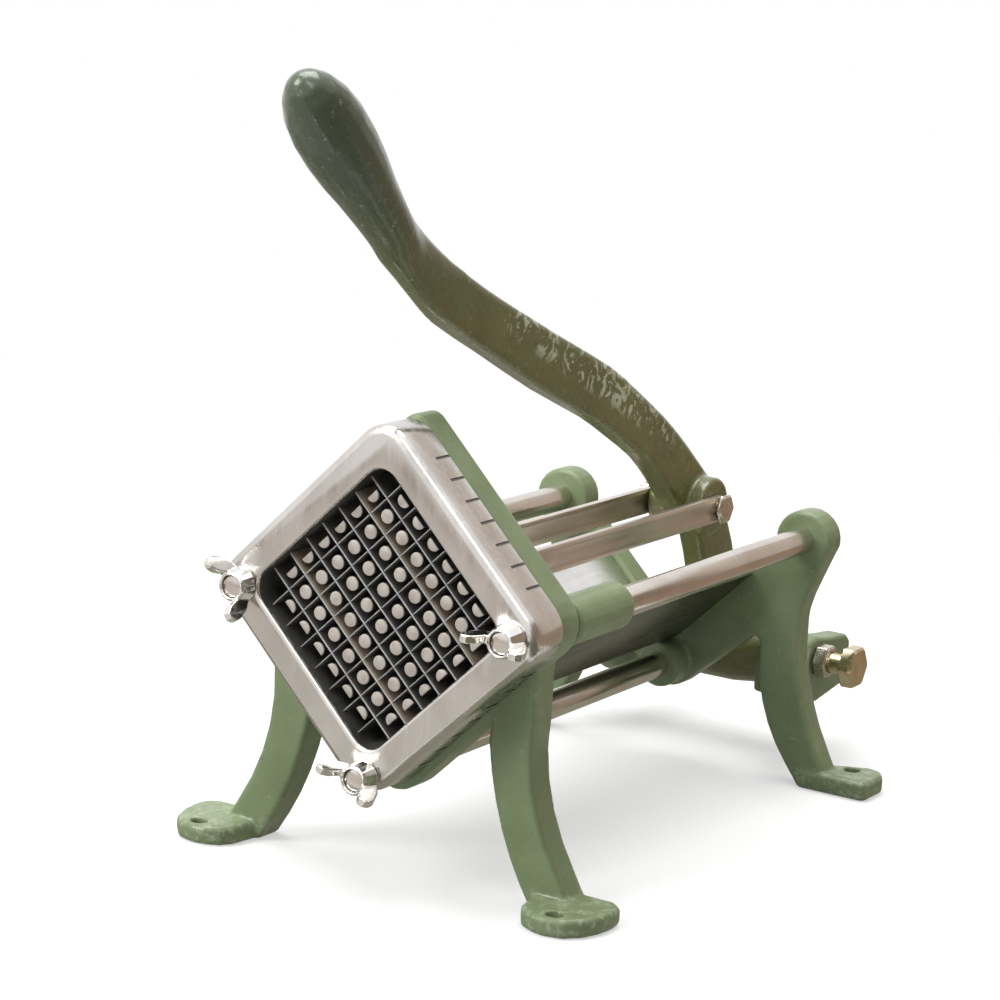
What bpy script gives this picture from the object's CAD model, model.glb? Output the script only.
# French fry cutter on a white studio floor: finished pieces, paint and metals, lamps and camera.
# Metres, X right, Y from the blade frame to the lever's pivot, Z up.

import math

import bpy
from mathutils import Matrix, Vector


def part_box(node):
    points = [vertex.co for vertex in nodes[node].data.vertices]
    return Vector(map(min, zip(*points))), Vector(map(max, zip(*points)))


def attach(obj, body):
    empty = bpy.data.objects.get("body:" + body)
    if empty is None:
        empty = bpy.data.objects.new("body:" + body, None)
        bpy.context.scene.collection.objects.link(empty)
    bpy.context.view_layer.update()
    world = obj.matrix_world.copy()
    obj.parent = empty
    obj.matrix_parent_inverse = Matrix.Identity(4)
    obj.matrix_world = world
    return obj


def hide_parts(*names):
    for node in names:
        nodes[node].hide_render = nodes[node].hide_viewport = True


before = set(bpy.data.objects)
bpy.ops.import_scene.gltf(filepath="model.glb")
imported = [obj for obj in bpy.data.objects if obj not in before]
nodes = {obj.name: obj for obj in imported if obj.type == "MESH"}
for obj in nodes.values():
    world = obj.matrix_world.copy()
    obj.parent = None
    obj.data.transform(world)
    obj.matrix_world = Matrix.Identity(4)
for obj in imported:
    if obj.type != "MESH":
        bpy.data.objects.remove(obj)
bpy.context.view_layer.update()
tolerance = 0.00001  # places closer than this are the same
bpy.ops.object.select_all(action="DESELECT")
print("frame loaded:", len(nodes), "nodes")


# Small helpers

def selectOnly(piece):
    bpy.ops.object.select_all(action="DESELECT")
    piece.select_set(True)
    bpy.context.view_layer.objects.active = piece


def applyModifiers(piece):
    selectOnly(piece)
    for modifier in list(piece.modifiers):
        bpy.ops.object.modifier_apply(modifier=modifier.name)


def applyPlace(piece):
    selectOnly(piece)
    bpy.ops.object.transform_apply(location=True, rotation=True, scale=True)


def addBlock(name, low, high):
    # a block between two corners, its place in its mesh
    low, high = Vector(low), Vector(high)
    bpy.ops.mesh.primitive_cube_add(size=1, location=(low + high) / 2, scale=high - low)
    block = bpy.context.object
    block.name = name
    applyPlace(block)
    return block


def addBar(name, radius, start, end, sides):
    # a round bar between two points, its place in its mesh
    start, end = Vector(start), Vector(end)
    turn = (end - start).to_track_quat("Z", "Y").to_euler()
    bpy.ops.mesh.primitive_cylinder_add(
        vertices=sides, radius=radius, depth=(end - start).length, location=(start + end) / 2, rotation=turn)
    bar = bpy.context.object
    bar.name = name
    applyPlace(bar)
    return bar


def copyShifted(piece, shift):
    # a copy with a mesh of its own, moved along
    twin = piece.copy()
    twin.data = piece.data.copy()
    bpy.context.scene.collection.objects.link(twin)
    twin.location = shift
    applyPlace(twin)
    return twin


def clearSelection(piece):
    for group in (piece.data.vertices, piece.data.edges, piece.data.polygons):
        group.foreach_set("select", [False] * len(group))


def editFaces(piece, test):
    # edit mode with the faces that pass the test selected
    selectOnly(piece)
    bpy.context.tool_settings.mesh_select_mode = (False, False, True)
    clearSelection(piece)
    for face in piece.data.polygons:
        face.select = test(face)
    bpy.ops.object.mode_set(mode="EDIT")


def bevelEdges(piece, test, width, segments):
    # bevels the edges whose two ends pass the test
    selectOnly(piece)
    bpy.context.tool_settings.mesh_select_mode = (False, True, False)
    clearSelection(piece)
    corners = piece.data.vertices
    for edge in piece.data.edges:
        first, second = (corners[i].co for i in edge.vertices)
        edge.select = test(first, second)
    bpy.ops.object.mode_set(mode="EDIT")
    bpy.ops.mesh.bevel(offset=width, segments=segments)
    bpy.ops.object.mode_set(mode="OBJECT")


def softEdges(piece, width, segments=2, angle=35):
    # a small round on every sharp edge, so that it catches the light
    edges = piece.modifiers.new("edges", "BEVEL")
    edges.width = width
    edges.segments = segments
    edges.limit_method = "ANGLE"
    edges.angle_limit = math.radians(angle)
    applyModifiers(piece)


def cutWith(piece, cutter, operation="DIFFERENCE"):
    cut = piece.modifiers.new("cut", "BOOLEAN")
    cut.operation = operation
    cut.solver = "EXACT"
    cut.object = cutter
    applyModifiers(piece)
    bpy.data.objects.remove(cutter)


def joinAll(pieces):
    selectOnly(pieces[0])
    for piece in pieces[1:]:
        piece.select_set(True)
    bpy.ops.object.join()
    return pieces[0]


def copyNode(nodeName, pieceName):
    # a merged copy of a CAD node, ready for modifiers
    piece = bpy.data.objects.new(pieceName, nodes[nodeName].data.copy())
    bpy.context.scene.collection.objects.link(piece)
    selectOnly(piece)
    bpy.ops.object.mode_set(mode="EDIT")
    bpy.ops.mesh.select_all(action="SELECT")
    bpy.ops.mesh.customdata_custom_splitnormals_clear()
    bpy.ops.mesh.remove_doubles(threshold=tolerance)
    bpy.ops.mesh.dissolve_limited(angle_limit=math.radians(0.5))
    bpy.ops.object.mode_set(mode="OBJECT")
    return piece


def blendAround(piece, look):
    # smooths further around one point, less and less away from it
    near = piece.vertex_groups.new(name="blend")
    for vertex in piece.data.vertices:
        share = look["share"] * (1 - (vertex.co - Vector(look["middle"])).length / look["reach"])
        if share > 0:
            near.add([vertex.index], min(share, 1), "REPLACE")
    blend = piece.modifiers.new("blend", "SMOOTH")
    blend.factor = look["factor"]
    blend.iterations = look["passes"]
    blend.vertex_group = near.name


def softenCopy(piece, look, low, high):
    # rounds every edge and fills every corner, as a sand casting has them
    remesh = piece.modifiers.new("remesh", "REMESH")
    remesh.mode = "VOXEL"
    remesh.voxel_size = look["grain"]
    smooth = piece.modifiers.new("smooth", "SMOOTH")
    smooth.factor = 0.5
    smooth.iterations = look["passes"]
    applyModifiers(piece)
    if "blend" in look:
        blendAround(piece, look["blend"])
    thin = piece.modifiers.new("thin", "DECIMATE")
    thin.ratio = look["keep"]
    applyModifiers(piece)
    for vertex in piece.data.vertices:  # stays inside its own node's box, clear of its neighbours
        for axis in range(3):
            vertex.co[axis] = min(max(vertex.co[axis], low[axis]), high[axis])


def finish(piece, materials, body, nodeName, smoothTo=None):
    # gives the piece its finish and its body, in the place of a CAD node
    slots = [face.material_index for face in piece.data.polygons]
    piece.data.materials.clear()
    for material in materials:
        piece.data.materials.append(material)
    piece.data.polygons.foreach_set("material_index", slots)
    selectOnly(piece)
    if smoothTo:
        bpy.ops.object.shade_smooth_by_angle(angle=math.radians(smoothTo))
    else:
        bpy.ops.object.shade_smooth()
    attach(piece, body)
    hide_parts(nodeName)
    print(piece.name, len(piece.data.polygons), "faces")


# Paint and metals

def newMaterial(name):
    material = bpy.data.materials.new(name)
    material.use_nodes = True
    return material, material.node_tree, material.node_tree.nodes["Principled BSDF"]


def addNode(tree, kind, values=None, **options):
    node = tree.nodes.new(kind)
    for key, value in options.items():
        setattr(node, key, value)
    for key, value in (values or {}).items():
        node.inputs[key].default_value = value
    return node


def addNoise(tree, place, pattern):
    noise = addNode(tree, "ShaderNodeTexNoise", {
        "Scale": pattern["scale"], "Detail": pattern["detail"],
        "Roughness": pattern.get("roughness", 0.5), "Distortion": pattern.get("distortion", 0.0)})
    tree.links.new(place, noise.inputs["Vector"])
    return noise.outputs["Fac"]


def addRange(tree, value, low, high, newLow, newHigh):
    spread = addNode(tree, "ShaderNodeMapRange", {1: low, 2: high, 3: newLow, 4: newHigh})
    tree.links.new(value, spread.inputs[0])
    return spread.outputs[0]


def addPattern(tree, place, pattern, low=0, high=1):
    # noise spread over the pattern's span
    return addRange(tree, addNoise(tree, place, pattern), *pattern["span"], low, high)


def addProduct(tree, first, second):
    product = addNode(tree, "ShaderNodeMath", operation="MULTIPLY")
    tree.links.new(first, product.inputs[0])
    tree.links.new(second, product.inputs[1])
    return product.outputs[0]


def addMix(tree, share, first, second):
    mix = addNode(tree, "ShaderNodeMix", data_type="RGBA")
    tree.links.new(share, mix.inputs["Factor"])
    for socket, colour in ((6, first), (7, second)):
        if isinstance(colour, tuple):
            mix.inputs[socket].default_value = (*colour, 1)
        else:
            tree.links.new(colour, mix.inputs[socket])
    return mix.outputs[2]


def addShaderMix(tree, share, first, second):
    mix = addNode(tree, "ShaderNodeMixShader")
    for socket, value in enumerate((share, first, second)):
        tree.links.new(value, mix.inputs[socket])
    return mix.outputs[0]


def addSeen(tree, *rays):
    # 1 for light paths of these kinds, otherwise 0
    path = addNode(tree, "ShaderNodeLightPath")
    seen = path.outputs[rays[0]]
    for ray in rays[1:]:
        either = addNode(tree, "ShaderNodeMath", operation="MAXIMUM")
        tree.links.new(seen, either.inputs[0])
        tree.links.new(path.outputs[ray], either.inputs[1])
        seen = either.outputs[0]
    return seen


def addBump(tree, height, strength, distance, under=None):
    bump = addNode(tree, "ShaderNodeBump", {"Strength": strength, "Distance": distance})
    tree.links.new(height, bump.inputs["Height"])
    if under:
        tree.links.new(under, bump.inputs["Normal"])
    return bump.outputs["Normal"]


def addAxes(tree, place):
    split = addNode(tree, "ShaderNodeSeparateXYZ")
    tree.links.new(place, split.inputs[0])
    return split.outputs


paintPatterns = {
    "clouds": {"scale": 30, "detail": 5, "roughness": 0.6, "span": (0.35, 0.65)},
    "specks": {"scale": 420, "detail": 6, "roughness": 0.6, "span": (0.62, 0.70)},
    "rubs": {"scale": 130, "detail": 3, "roughness": 0.6, "distortion": 1.8, "span": (0.52, 0.57)},
    "patches": {"scale": 55, "detail": 2, "span": (0.40, 0.47)},
    "flecks": {"scale": 330, "detail": 7, "roughness": 0.7, "span": (0.50, 0.64)},
    "gloss": {"scale": 90, "detail": 5, "span": (0.3, 0.7)},
    "edges": {"span": (0.53, 0.60), "wear": 0.4},
    "grain": {"scale": 260, "detail": 4, "strength": 0.35, "depth": 0.0006},
    "peel": {"scale": 1100, "detail": 2, "strength": 0.25, "depth": 0.0002},
}
paintLooks = {
    "castingPaint": {
        "colour": (0.212, 0.270, 0.148), "deepColour": (0.158, 0.207, 0.104),
        "wornColour": (0.36, 0.40, 0.29), "roughness": (0.28, 0.44), "specks": 0.5, "coat": 0.05,
        "pads": {"height": (0.0076, 0.0106), "wear": 0.8},
    },
    "leverPaint": {
        "colour": (0.150, 0.155, 0.058), "deepColour": (0.112, 0.116, 0.040),
        "wornColour": (0.48, 0.51, 0.38), "roughness": (0.18, 0.36), "specks": 0.35, "coat": 0.4,
        "grip": {"colour": (0.066, 0.088, 0.052), "height": (0.205, 0.260)},
        "scuffs": {
            "slope": 24.2, "start": (-0.132, -0.122), "end": (0.015, 0.025),
            "height": (0.159, 0.163), "wear": 0.95,
        },
    },
}


def addScuffs(tree, place, look):
    # where the lever's side is rubbed: patches along a stretch of it, near its top edge
    along = addNode(tree, "ShaderNodeMapping", {"Rotation": (math.radians(look["slope"]), 0, 0)})
    tree.links.new(place, along.inputs["Vector"])
    axes = addAxes(tree, along.outputs["Vector"])
    rubs = addPattern(tree, place, paintPatterns["rubs"], 0, look["wear"])
    patches = addPattern(tree, place, paintPatterns["patches"])
    begun = addRange(tree, axes[1], *look["start"], 0, 1)
    stretch = addProduct(tree, begun, addRange(tree, axes[1], *look["end"], 1, 0))
    upper = addRange(tree, axes[2], *look["height"], 0, 1)
    reach = addProduct(tree, addProduct(tree, stretch, upper), patches)
    return addProduct(tree, rubs, reach)


def makePaint(name, look):
    # enamel on a sand casting: clouded colour, rubbed spots and edges, orange peel over a coarser grain
    material, tree, shader = newMaterial(name)
    place = addNode(tree, "ShaderNodeTexCoord").outputs["Object"]
    height = addAxes(tree, place)[2]
    worn = look["wornColour"]
    clouds = addPattern(tree, place, paintPatterns["clouds"])
    colour = addMix(tree, clouds, look["deepColour"], look["colour"])
    if "grip" in look:
        grip = addRange(tree, height, *look["grip"]["height"], 0, 1)
        colour = addMix(tree, grip, colour, look["grip"]["colour"])
    specks = addPattern(tree, place, paintPatterns["specks"], 0, look["specks"])
    colour = addMix(tree, specks, colour, worn)
    if "scuffs" in look:
        colour = addMix(tree, addScuffs(tree, place, look["scuffs"]), colour, worn)
    if "pads" in look:  # the foot pads are rubbed
        pad = addRange(tree, height, *look["pads"]["height"], 1, 0)
        flecks = addPattern(tree, place, paintPatterns["flecks"], 0, look["pads"]["wear"])
        colour = addMix(tree, addProduct(tree, pad, flecks), colour, worn)
    shape = addNode(tree, "ShaderNodeNewGeometry").outputs["Pointiness"]
    edges = paintPatterns["edges"]
    colour = addMix(tree, addRange(tree, shape, *edges["span"], 0, edges["wear"]), colour, worn)
    tree.links.new(colour, shader.inputs["Base Color"])
    gloss = addPattern(tree, place, paintPatterns["gloss"], *look["roughness"])
    tree.links.new(gloss, shader.inputs["Roughness"])
    relief = None
    for bumps in (paintPatterns["grain"], paintPatterns["peel"]):
        relief = addBump(tree, addNoise(tree, place, bumps), bumps["strength"], bumps["depth"], relief)
    tree.links.new(relief, shader.inputs["Normal"])
    shader.inputs["Specular IOR Level"].default_value = 0.4
    shader.inputs["Coat Weight"].default_value = look["coat"]
    shader.inputs["Coat Roughness"].default_value = 0.15
    return material


metalPatterns = {
    "marks": {"detail": 5, "span": (0.3, 0.7), "depth": 0.0001},
    "stains": {"detail": 4, "span": (0.4, 0.65)},
    # a wave node of scale 1 repeats every 0.314 m
    "thread": {"wave": 0.314, "rootSpan": (0.0, 0.5), "rootShare": 0.8, "strength": 0.8, "depth": 0.0004},
}


def makeMetal(name, look):
    # metal with fine marks along one direction and soft stains, threaded where asked
    material, tree, shader = newMaterial(name)
    place = addNode(tree, "ShaderNodeTexCoord").outputs["Object"]
    stretch = addNode(tree, "ShaderNodeMapping", {"Scale": look["marks"]})
    tree.links.new(place, stretch.inputs["Vector"])
    markPattern = {**metalPatterns["marks"], "scale": look["markScale"]}
    marks = addNoise(tree, stretch.outputs["Vector"], markPattern)
    stains = addPattern(tree, place, {**metalPatterns["stains"], "scale": look["stainScale"]})
    colour = addMix(tree, stains, look["colour"], look["stain"])
    roughness = addRange(tree, marks, *markPattern["span"], *look["roughness"])
    tree.links.new(roughness, shader.inputs["Roughness"])
    relief = addBump(tree, marks, look["bump"], markPattern["depth"])
    if "pitch" in look:
        thread = metalPatterns["thread"]
        waveScale = thread["wave"] / look["pitch"]
        wave = addNode(tree, "ShaderNodeTexWave", {"Scale": waveScale}, bands_direction="Y")
        tree.links.new(place, wave.inputs["Vector"])
        roots = addRange(tree, wave.outputs["Fac"], *thread["rootSpan"], thread["rootShare"], 0)
        colour = addMix(tree, roots, colour, look["rootColour"])
        relief = addBump(tree, wave.outputs["Fac"], thread["strength"], thread["depth"], relief)
    if "groundTo" in look:  # the ground strip at the front is lighter than the sides
        side = addRange(tree, addAxes(tree, place)[1], *look["groundTo"], 0, 1)
        colour = addMix(tree, side, colour, look["sideColour"])
    tree.links.new(colour, shader.inputs["Base Color"])
    tree.links.new(relief, shader.inputs["Normal"])
    shader.inputs["Metallic"].default_value = look.get("metallic", 1)
    return material


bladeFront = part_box("blade_a1")[0].y
groundStrip = (bladeFront + 0.0005, bladeFront + 0.0007)
metalLooks = {
    "polishedAlloy": {
        "colour": (0.70, 0.67, 0.645), "stain": (0.60, 0.57, 0.54), "roughness": (0.16, 0.30),
        "marks": (1, 1, 0.15), "markScale": 420, "stainScale": 38, "bump": 0.04,
    },
    "dullAlloy": {
        "colour": (0.07, 0.07, 0.072), "stain": (0.035, 0.035, 0.037), "roughness": (0.35, 0.55),
        "marks": (1, 1, 1), "markScale": 500, "stainScale": 90, "bump": 0.15, "metallic": 0.5,
    },
    "wallAlloy": {
        "colour": (0.13, 0.125, 0.115), "stain": (0.06, 0.058, 0.052), "roughness": (0.35, 0.55),
        "marks": (1, 1, 1), "markScale": 500, "stainScale": 60, "bump": 0.12, "metallic": 0.4,
    },
    "chromeSteel": {
        "colour": (0.74, 0.69, 0.65), "stain": (0.64, 0.58, 0.53), "roughness": (0.16, 0.26),
        "marks": (1, 0.05, 1), "markScale": 900, "stainScale": 40, "bump": 0.04,
    },
    "barSteel": {
        "colour": (0.70, 0.62, 0.56), "stain": (0.62, 0.55, 0.49), "roughness": (0.28, 0.36),
        "marks": (1, 0.05, 1), "markScale": 900, "stainScale": 40, "bump": 0.006,
    },
    "threadedSteel": {
        "colour": (0.66, 0.62, 0.57), "stain": (0.50, 0.46, 0.42), "roughness": (0.18, 0.30),
        "marks": (1, 1, 1), "markScale": 700, "stainScale": 160, "bump": 0.06,
        "pitch": 0.00125, "rootColour": (0.10, 0.09, 0.08),
    },
    "bladeSteel": {
        "colour": (0.86, 0.85, 0.83), "stain": (0.70, 0.69, 0.67), "roughness": (0.30, 0.45),
        "marks": (1, 0.1, 1), "markScale": 1200, "stainScale": 120, "bump": 0.08, "metallic": 0.25,
        "groundTo": groundStrip, "sideColour": (0.12, 0.115, 0.11),
    },
    "brightSheet": {
        "colour": (0.80, 0.79, 0.77), "stain": (0.70, 0.68, 0.66), "roughness": (0.14, 0.26),
        "marks": (1, 0.04, 1), "markScale": 800, "stainScale": 45, "bump": 0.06,
    },
    "dullSheet": {
        "colour": (0.16, 0.155, 0.125), "stain": (0.12, 0.115, 0.09), "roughness": (0.26, 0.36),
        "marks": (1, 0.04, 1), "markScale": 800, "stainScale": 45, "bump": 0.01,
    },
    "platedZinc": {
        "colour": (0.70, 0.61, 0.42), "stain": (0.56, 0.47, 0.30), "roughness": (0.18, 0.30),
        "marks": (1, 1, 1), "markScale": 700, "stainScale": 160, "bump": 0.03,
    },
    "brightZinc": {
        "colour": (0.66, 0.61, 0.54), "stain": (0.56, 0.50, 0.42), "roughness": (0.20, 0.32),
        "marks": (1, 1, 1), "markScale": 700, "stainScale": 160, "bump": 0.015,
    },
    "brightChrome": {
        "colour": (0.90, 0.89, 0.87), "stain": (0.82, 0.80, 0.77), "roughness": (0.10, 0.18),
        "marks": (1, 1, 1), "markScale": 600, "stainScale": 200, "bump": 0.05,
    },
    "pinAlloy": {
        "colour": (0.50, 0.46, 0.42), "stain": (0.40, 0.36, 0.32), "roughness": (0.40, 0.55),
        "marks": (1, 1, 1), "markScale": 900, "stainScale": 260, "bump": 0.18, "metallic": 0.3,
    },
}
metalLooks["warmBladeSteel"] = {**metalLooks["bladeSteel"], "sideColour": (0.52, 0.42, 0.33)}
paints = {name: makePaint(name, look) for name, look in paintLooks.items()}
metals = {name: makeMetal(name, look) for name, look in metalLooks.items()}
print("materials made")


# Painted castings

castings = {
    "front_casting": {"name": "frontCasting", "paint": "castingPaint", "body": "stand"},
    "rear_casting": {"name": "rearCasting", "paint": "castingPaint", "body": "stand"},
    "lever": {"name": "leverArm", "paint": "leverPaint", "body": "lever"},
    "carriage": {"name": "slidingCarriage", "paint": "castingPaint", "body": "carriage"},
}
castLook = {"grain": 0.0008, "passes": 5, "keep": 0.3}
gripBlend = {"middle": (0, -0.120, 0.236), "reach": 0.040, "share": 1.5, "factor": 0.6, "passes": 140}
seatLook = {"depth": 0.0088, "bottomDepth": 0.0188, "around": 0.0006, "past": 0.002, "sides": 32}


def fillSeats(casting, look):
    # the rods' seats are filled, so that each rod leaves a whole ear
    for side in ("left", "right", "bottom"):
        low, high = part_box("guide_rod_" + side)
        x, z = (low.x + high.x) / 2, (low.z + high.z) / 2
        radius = (high.x - low.x) / 2 + look["around"]
        start = high.y - look["bottomDepth" if side == "bottom" else "depth"]
        seat = addBar("seat", radius, (x, start, z), (x, high.y + look["past"], z), look["sides"])
        cutWith(casting, seat, "UNION")


for nodeName, look in castings.items():
    casting = copyNode(nodeName, look["name"])
    if nodeName == "rear_casting":
        fillSeats(casting, seatLook)
    softening = {**castLook, "blend": gripBlend} if nodeName == "lever" else castLook
    softenCopy(casting, softening, *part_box(nodeName))
    finish(casting, [paints[look["paint"]]], look["body"], nodeName)
print("castings done")


# Blade frame: a rounded square ring on its corner, slotted for the blades

frameLook = {
    "half": 0.0513, "corner": 0.0125, "frontRound": 0.0034, "backRound": 0.0004,
    "opening": 0.0386, "openingCorner": 0.008, "bead": 0.0017,
    "blades": 7, "pitch": 0.009525, "slotWidth": 0.0011, "slotStart": 0.0106,
    "studHole": 0.0043, "holeSides": 32, "studSide": 0.0577, "studBottom": 0.0616,
    "centreHeight": 0.1042, "overshoot": 0.01, "skin": 0.0003,
    "steps": {"corner": 10, "front": 6, "back": 2, "opening": 8, "bead": 4},
}
squareTurn = Matrix.Rotation(math.radians(45), 4, "Y")


def makeRing(look, front, back):
    # a block with rounded corners and a beaded window
    half, opening, steps = look["half"], look["opening"], look["steps"]
    before, past = front - look["overshoot"], back + look["overshoot"]

    def lengthwise(a, b):
        return abs(a.y - b.y) > (back - front) / 2

    def mouthEdge(a, b):
        flat = max(a.y, b.y) < front + tolerance
        return flat and max(abs(a.x), abs(a.z), abs(b.x), abs(b.z)) < opening + look["skin"]

    ring = addBlock("bladeFrame", (-half, front, -half), (half, back, half))
    bevelEdges(ring, lengthwise, look["corner"], steps["corner"])
    bevelEdges(ring, lambda a, b: max(a.y, b.y) < front + tolerance, look["frontRound"], steps["front"])
    bevelEdges(ring, lambda a, b: min(a.y, b.y) > back - tolerance, look["backRound"], steps["back"])
    window = addBlock("window", (-opening, before, -opening), (opening, past, opening))
    bevelEdges(window, lengthwise, look["openingCorner"], steps["opening"])
    cutWith(ring, window)
    bevelEdges(ring, mouthEdge, look["bead"], steps["bead"])

    side, bottom = look["studSide"] / math.sqrt(2), look["studBottom"] / math.sqrt(2)
    for x, z in ((side, side), (-side, -side), (bottom, -bottom)):
        hole = addBar("studHole", look["studHole"], (x, before, z), (x, past, z), look["holeSides"])
        cutWith(ring, hole)
    return ring


def cutSlots(ring, look, front, back):
    # a slot for each blade, both ways, open at the back
    length, width = look["half"] + look["overshoot"], look["slotWidth"] / 2
    start, end = front + look["slotStart"], back + look["overshoot"]
    for wide, tall, way in ((length, width, Vector((0, 0, 1))), (width, length, Vector((1, 0, 0)))):
        step = way * look["pitch"]
        first = -step * (look["blades"] - 1) / 2
        slot = addBlock("slot", first + Vector((-wide, start, -tall)), first + Vector((wide, end, tall)))
        copies = [copyShifted(slot, step * number) for number in range(1, look["blades"])]
        cutWith(ring, joinAll([slot] + copies))


def makeBladeFrame(look):
    low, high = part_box("blade_frame")
    ring = makeRing(look, low.y, high.y)
    cutSlots(ring, look, low.y, high.y)
    outer = look["half"] - look["skin"]
    for face in ring.data.polygons:  # the opening's walls and the slots are dull
        across, up = abs(face.center.x), abs(face.center.z)
        deep = face.center.y > low.y + look["bead"] and abs(face.normal.y) < 0.5
        within = max(across, up) < outer and min(across, up) < outer - look["corner"]
        face.material_index = 1 if deep and within else 0
    ring.matrix_world = Matrix.Translation((0, 0, look["centreHeight"])) @ squareTurn
    applyPlace(ring)
    return ring


frameMetals = [metals["polishedAlloy"], metals["wallAlloy"]]
finish(makeBladeFrame(frameLook), frameMetals, "stand", "blade_frame", smoothTo=30)


# Push block: a plate with one round pin for each cell but the four corners

blockLook = {
    "pitch": 0.009525, "cells": 8, "centreHeight": 0.1042, "half": 0.0356, "corner": 0.006,
    "cornerSteps": 6, "thickness": 0.008, "edge": 0.0005,
    "pinRadius": 0.0027, "pinSides": 20, "trim": 0.0339, "tip": 0.0005, "tipSteps": 2,
}
outwards = (Vector((1, 0, 0)), Vector((-1, 0, 0)), Vector((0, 0, 1)), Vector((0, 0, -1)))


def makePins(look, root, front):
    # one pin copied to every cell but the four corners, the outer rows cut flat
    last = look["cells"] - 1
    cells = [(column, row) for column in range(last + 1) for row in range(last + 1)]
    cells = [cell for cell in cells if not set(cell) <= {0, last}]
    places = [Vector((column - last / 2, 0, row - last / 2)) * look["pitch"] for column, row in cells]
    x, z = places[0].x, places[0].z
    pin = addBar("pin", look["pinRadius"], (x, root, z), (x, front, z), look["pinSides"])
    pins = joinAll([pin] + [copyShifted(pin, place - places[0]) for place in places[1:]])
    bpy.ops.object.mode_set(mode="EDIT")
    for side in outwards:
        bpy.ops.mesh.select_all(action="SELECT")
        bpy.ops.mesh.bisect(plane_co=side * look["trim"], plane_no=side, clear_outer=True, use_fill=True)
    bpy.ops.object.mode_set(mode="OBJECT")
    bevelEdges(pins, lambda a, b: max(a.y, b.y) < front + tolerance, look["tip"], look["tipSteps"])
    for face in pins.data.polygons:
        face.material_index = 1 if face.center.y < front + look["tip"] else 0
    return pins


def makePushBlock(look, blockMetals):
    low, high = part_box("push_block")
    face, half = high.y - look["thickness"], look["half"]
    plate = addBlock("pushBlock", (-half, face, -half), (half, high.y, half))
    bevelEdges(plate, lambda a, b: abs(a.y - b.y) > tolerance, look["corner"], look["cornerSteps"])
    softEdges(plate, look["edge"])
    pins = makePins(look, face + look["edge"], low.y)
    for part in (plate, pins):  # two slots each before the join, so the tips keep theirs
        for metal in blockMetals:
            part.data.materials.append(metal)
    joinAll([plate, pins])
    plate.matrix_world = Matrix.Translation((0, 0, look["centreHeight"])) @ squareTurn
    applyPlace(plate)
    return plate


blockMetals = [metals["dullAlloy"], metals["pinAlloy"]]
finish(makePushBlock(blockLook, blockMetals), blockMetals, "carriage", "push_block", smoothTo=35)


# Guide rods with a threaded stud at the front

rodLook = {
    "radius": 0.0055, "stud": 0.004, "sides": 64, "edge": 0.0005, "tip": 0.0006,
    "steps": 2, "gap": 0.0003, "threadFrom": 0.001,
}


def makeRod(side, look):
    low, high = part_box("guide_rod_" + side)
    x, z = (low.x + high.x) / 2, (low.z + high.z) / 2
    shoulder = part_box("front_casting")[1].y + look["gap"]
    name = "guideRod" + side.capitalize()
    rod = addBar(name, look["radius"], (x, shoulder, z), (x, high.y, z), look["sides"])
    bevelEdges(rod, lambda a, b: max(a.y, b.y) < shoulder + tolerance, look["edge"], look["steps"])
    editFaces(rod, lambda face: face.normal.y < -0.99)
    bpy.ops.mesh.inset(thickness=look["radius"] - look["edge"] - look["stud"])
    bpy.ops.mesh.extrude_region_move(TRANSFORM_OT_translate={"value": (0, low.y - shoulder, 0)})
    bpy.ops.object.mode_set(mode="OBJECT")
    bevelEdges(rod, lambda a, b: max(a.y, b.y) < low.y + tolerance, look["tip"], look["steps"])
    threaded = shoulder - look["threadFrom"]
    for face in rod.data.polygons:
        face.material_index = 1 if face.center.y < threaded and abs(face.normal.y) < 0.9 else 0
    return rod


rodMetals = [metals["chromeSteel"], metals["threadedSteel"]]
for side in ("left", "right", "bottom"):
    finish(makeRod(side, rodLook), rodMetals, "stand", "guide_rod_" + side, smoothTo=35)
print("frame, push block and rods done")


# V trough: bright inside, dull below

troughLook = {"edge": 0.0004, "underside": -0.4}
trough = copyNode("potato_trough", "potatoTrough")
softEdges(trough, troughLook["edge"])
for face in trough.data.polygons:
    face.material_index = 1 if face.normal.z < troughLook["underside"] else 0
finish(trough, [metals["brightSheet"], metals["dullSheet"]], "stand", "potato_trough", smoothTo=30)


# Wing nuts

wingLook = {"grain": 0.00035, "passes": 5, "keep": 0.5}
for side in ("left", "right", "bottom"):
    nodeName = "wing_nut_" + side
    nut = copyNode(nodeName, "wingNut" + side.capitalize())
    softenCopy(nut, wingLook, *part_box(nodeName))
    finish(nut, [metals["brightChrome"]], "nut_" + side, nodeName)


# Hexagon heads and nuts, their corners turned off

# "outer" is 1 or -1 where the end on the right or left is chamfered, and 0 for both
hexLooks = {
    "pivot_screw_left": {"name": "pivotScrewLeft", "outer": -1, "metal": "platedZinc", "body": "stand"},
    "pivot_screw_right": {"name": "pivotScrewRight", "outer": 1, "metal": "platedZinc", "body": "stand"},
    "jam_nut_left": {"name": "jamNutLeft", "outer": 0, "metal": "brightZinc", "body": "stand"},
    "jam_nut_right": {"name": "jamNutRight", "outer": 0, "metal": "brightZinc", "body": "stand"},
    "link_bolt": {"name": "linkBolt", "outer": 1, "metal": "brightZinc", "body": "lever"},
    "link_nut": {"name": "linkNut", "outer": 0, "metal": "brightZinc", "body": "lever"},
    "bar_screw_left": {"name": "barScrewLeft", "outer": -1, "metal": "brightZinc", "body": "link"},
    "bar_screw_right": {"name": "barScrewRight", "outer": 1, "metal": "brightZinc", "body": "link"},
}
hexShape = {"overshoot": 0.00002, "trim": 0.00005, "chamfer": 0.14, "sides": 64}


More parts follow.
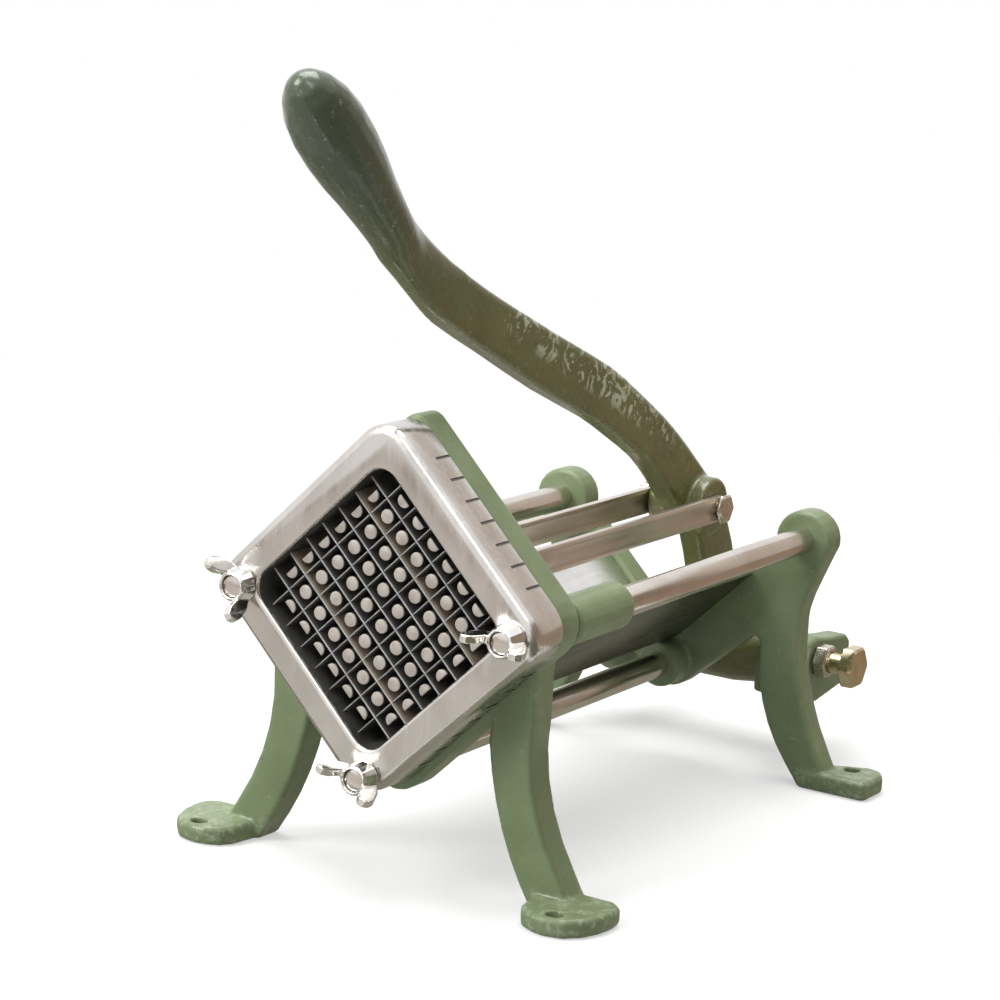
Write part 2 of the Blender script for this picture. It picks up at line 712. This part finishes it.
def makeHex(nodeName, look, shape):
    low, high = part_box(nodeName)
    y, z = (low.y + high.y) / 2, (low.z + high.z) / 2
    radius = max(high.y - low.y, high.z - low.z) / 2
    start, end = low.x - shape["overshoot"], high.x + shape["overshoot"]
    piece = copyNode(nodeName, look["name"])
    turned = addBar("turned", radius - shape["trim"], (start, y, z), (end, y, z), shape["sides"])
    chamfer = radius * shape["chamfer"]
    if look["outer"] >= 0:
        bevelEdges(turned, lambda a, b: min(a.x, b.x) > end - tolerance, chamfer, 1)
    if look["outer"] <= 0:
        bevelEdges(turned, lambda a, b: max(a.x, b.x) < start + tolerance, chamfer, 1)
    cutWith(piece, turned, "INTERSECT")
    return piece


for nodeName, look in hexLooks.items():
    piece = makeHex(nodeName, look, hexShape)
    finish(piece, [metals[look["metal"]]], look["body"], nodeName, smoothTo=30)


# Link bars, block screws and carriage pin with softened edges

barLooks = {
    "link_bar_left": {"name": "linkBarLeft", "edge": 0.0005, "metal": "barSteel", "body": "link"},
    "link_bar_right": {"name": "linkBarRight", "edge": 0.0005, "metal": "barSteel", "body": "link"},
    "carriage_pin": {"name": "carriagePin", "edge": 0.0004, "metal": "chromeSteel", "body": "carriage"},
}
for number in range(1, 5):
    barLooks["block_screw_" + str(number)] = {
        "name": "blockScrew" + str(number), "edge": 0.0003, "metal": "brightZinc", "body": "carriage"}
for nodeName, look in barLooks.items():
    bar = copyNode(nodeName, look["name"])
    softEdges(bar, look["edge"])
    finish(bar, [metals[look["metal"]]], look["body"], nodeName, smoothTo=30)


# Blades: the CAD nodes themselves, two of them with warmer sides

warmBlades = ("blade_a2", "blade_a6")
for row in "ab":
    for number in range(1, 8):
        nodeName = "blade_" + row + str(number)
        blade = nodes[nodeName]
        blade.data.materials.clear()
        blade.data.materials.append(metals["warmBladeSteel" if nodeName in warmBlades else "bladeSteel"])
print("blades dressed")


# Floor, cards, lamps and camera

stageLook = {
    "floorSize": 60.0, "floorDrop": 0.0002, "floorColour": (0.50, 0.50, 0.50), "lift": 0.52,
    "whiteFrom": (0.40, 1.1), "worldColour": (0.96, 0.98, 1.0), "worldStrength": 0.19,
}
cardLooks = {
    "tableCard": {"low": (-0.9, -1.1, 0.0002), "high": (0.10, -0.56, 0.0006), "colour": (0.50, 0.44, 0.39)},
    "nearCard": {"low": (-0.9, -0.56, 0.0002), "high": (0.10, -0.20, 0.0006), "colour": (0.68, 0.65, 0.60)},
    "cornerCard": {"low": (0.14, -2.2, 0.0002), "high": (1.6, 0.08, 0.0006), "colour": (0.17, 0.17, 0.12)},
    "frontCard": {"low": (1.60, -2.2, 0.02), "high": (1.61, -0.3, 0.85), "colour": (0.20, 0.20, 0.14)},
    "underCard": {"low": (-0.7, -0.19, 0.0002), "high": (0.12, 1.6, 0.0006), "colour": (0.32, 0.31, 0.25)},
    "groundCard": {"low": (0.12, 0.1, 0.0002), "high": (2.2, 2.8, 0.0006), "colour": (0.34, 0.25, 0.18)},
    "sideCard": {"low": (1.30, -1.0, 0.02), "high": (1.31, 1.5, 1.2), "colour": (0.26, 0.20, 0.15)},
    "backCard": {"low": (0.05, 2.2, 0.02), "high": (2.4, 2.21, 1.9), "colour": (0.60, 0.53, 0.46)},
}


def makeFloor(look):
    # keeps the object's shadow near it, and is plain white further off
    bpy.ops.mesh.primitive_plane_add(size=look["floorSize"], location=(0, 0, -look["floorDrop"]))
    floor = bpy.context.object
    floor.name = "floor"
    material, tree, shader = newMaterial("floorWhite")
    shader.inputs["Base Color"].default_value = (*look["floorColour"], 1)
    shader.inputs["Roughness"].default_value = 0.9
    shader.inputs["Specular IOR Level"].default_value = 0.0
    seen = addSeen(tree, "Is Camera Ray", "Is Glossy Ray")
    lift = addRange(tree, seen, 0, 1, 0, look["lift"])
    shader.inputs["Emission Color"].default_value = (1, 1, 1, 1)
    tree.links.new(lift, shader.inputs["Emission Strength"])
    place = addNode(tree, "ShaderNodeTexCoord").outputs["Object"]
    away = addNode(tree, "ShaderNodeVectorMath", operation="LENGTH")
    tree.links.new(place, away.inputs[0])
    far = addRange(tree, away.outputs["Value"], *look["whiteFrom"], 0, 1)
    white = addNode(tree, "ShaderNodeEmission", {"Color": (1, 1, 1, 1), "Strength": 1.0})
    mix = addShaderMix(tree, addProduct(tree, far, seen), shader.outputs[0], white.outputs[0])
    tree.links.new(mix, tree.nodes["Material Output"].inputs[0])
    floor.data.materials.append(material)


def makeCard(name, look):
    # a coloured card for the metals to mirror, out of the camera's sight and casting no light
    card = addBlock(name, look["low"], look["high"])
    material, tree, shader = newMaterial(name)
    shader.inputs["Base Color"].default_value = (0, 0, 0, 1)
    shader.inputs["Specular IOR Level"].default_value = 0.0
    shader.inputs["Emission Color"].default_value = (*look["colour"], 1)
    shader.inputs["Emission Strength"].default_value = 1.0
    card.data.materials.append(material)
    card.visible_camera = False
    card.visible_diffuse = False
    card.visible_shadow = False


def makeWorld(look):
    # soft light on the object, white where the camera or a metal looks past the floor
    world = bpy.data.worlds.new("studio")
    world.use_nodes = True
    bpy.context.scene.world = world
    tree = world.node_tree
    tree.nodes.clear()
    seen = addSeen(tree, "Is Camera Ray", "Is Glossy Ray", "Is Transmission Ray")
    soft = addNode(tree, "ShaderNodeBackground", {
        "Color": (*look["worldColour"], 1), "Strength": look["worldStrength"]})
    bright = addNode(tree, "ShaderNodeBackground", {"Color": (1, 1, 1, 1), "Strength": 1.0})
    mix = addShaderMix(tree, seen, soft.outputs[0], bright.outputs[0])
    out = addNode(tree, "ShaderNodeOutputWorld")
    tree.links.new(mix, out.inputs[0])


lamps = {
    "keyLamp": {"place": (-0.9, -1.5, 1.3), "size": 1.0, "power": 34, "colour": (1.0, 1.0, 0.97)},
    "topLamp": {"place": (-0.2, 0.1, 1.7), "size": 1.2, "power": 32, "colour": (1.0, 1.0, 1.0)},
    "edgeLamp": {"place": (0.70, -0.92, 1.31), "size": 0.45, "power": 3.0, "colour": (1.0, 1.0, 1.0)},
    "warmLamp": {
        "place": (1.3, 0.6, 0.5), "size": 0.9, "power": 2.5, "colour": (1.0, 0.72, 0.40), "mirrored": False,
    },
}
aim = Vector((0, 0, 0.12))


def makeLamps(looks):
    for name, look in looks.items():
        bpy.ops.object.light_add(type="AREA", location=look["place"])
        lamp = bpy.context.object
        lamp.name = name
        lamp.data.size = look["size"]
        lamp.data.energy = look["power"]
        lamp.data.color = look["colour"]
        lamp.visible_glossy = look.get("mirrored", True)
        lamp.rotation_euler = (aim - Vector(look["place"])).to_track_quat("-Z", "Y").to_euler()


cameraLook = {
    "place": (0.57359, -0.990869, 0.36027), "lens": 107.97,
    "right": (0.84829, 0.52605, 0.06069), "up": (-0.15640, 0.13940, 0.97781),
    "back": (0.50591, -0.83896, 0.20053),
}


def makeCamera(look):
    bpy.ops.object.camera_add()
    camera = bpy.context.object
    axes = Matrix((look["right"], look["up"], look["back"])).transposed().to_4x4()
    camera.matrix_world = Matrix.Translation(look["place"]) @ axes
    camera.data.lens = look["lens"]
    camera.data.sensor_width = 36
    camera.data.sensor_fit = "HORIZONTAL"
    bpy.context.scene.camera = camera


makeFloor(stageLook)
for cardName, cardLook in cardLooks.items():
    makeCard(cardName, cardLook)
makeWorld(stageLook)
makeLamps(lamps)
makeCamera(cameraLook)
bpy.context.scene.view_settings.view_transform = "Standard"
print("stage ready")
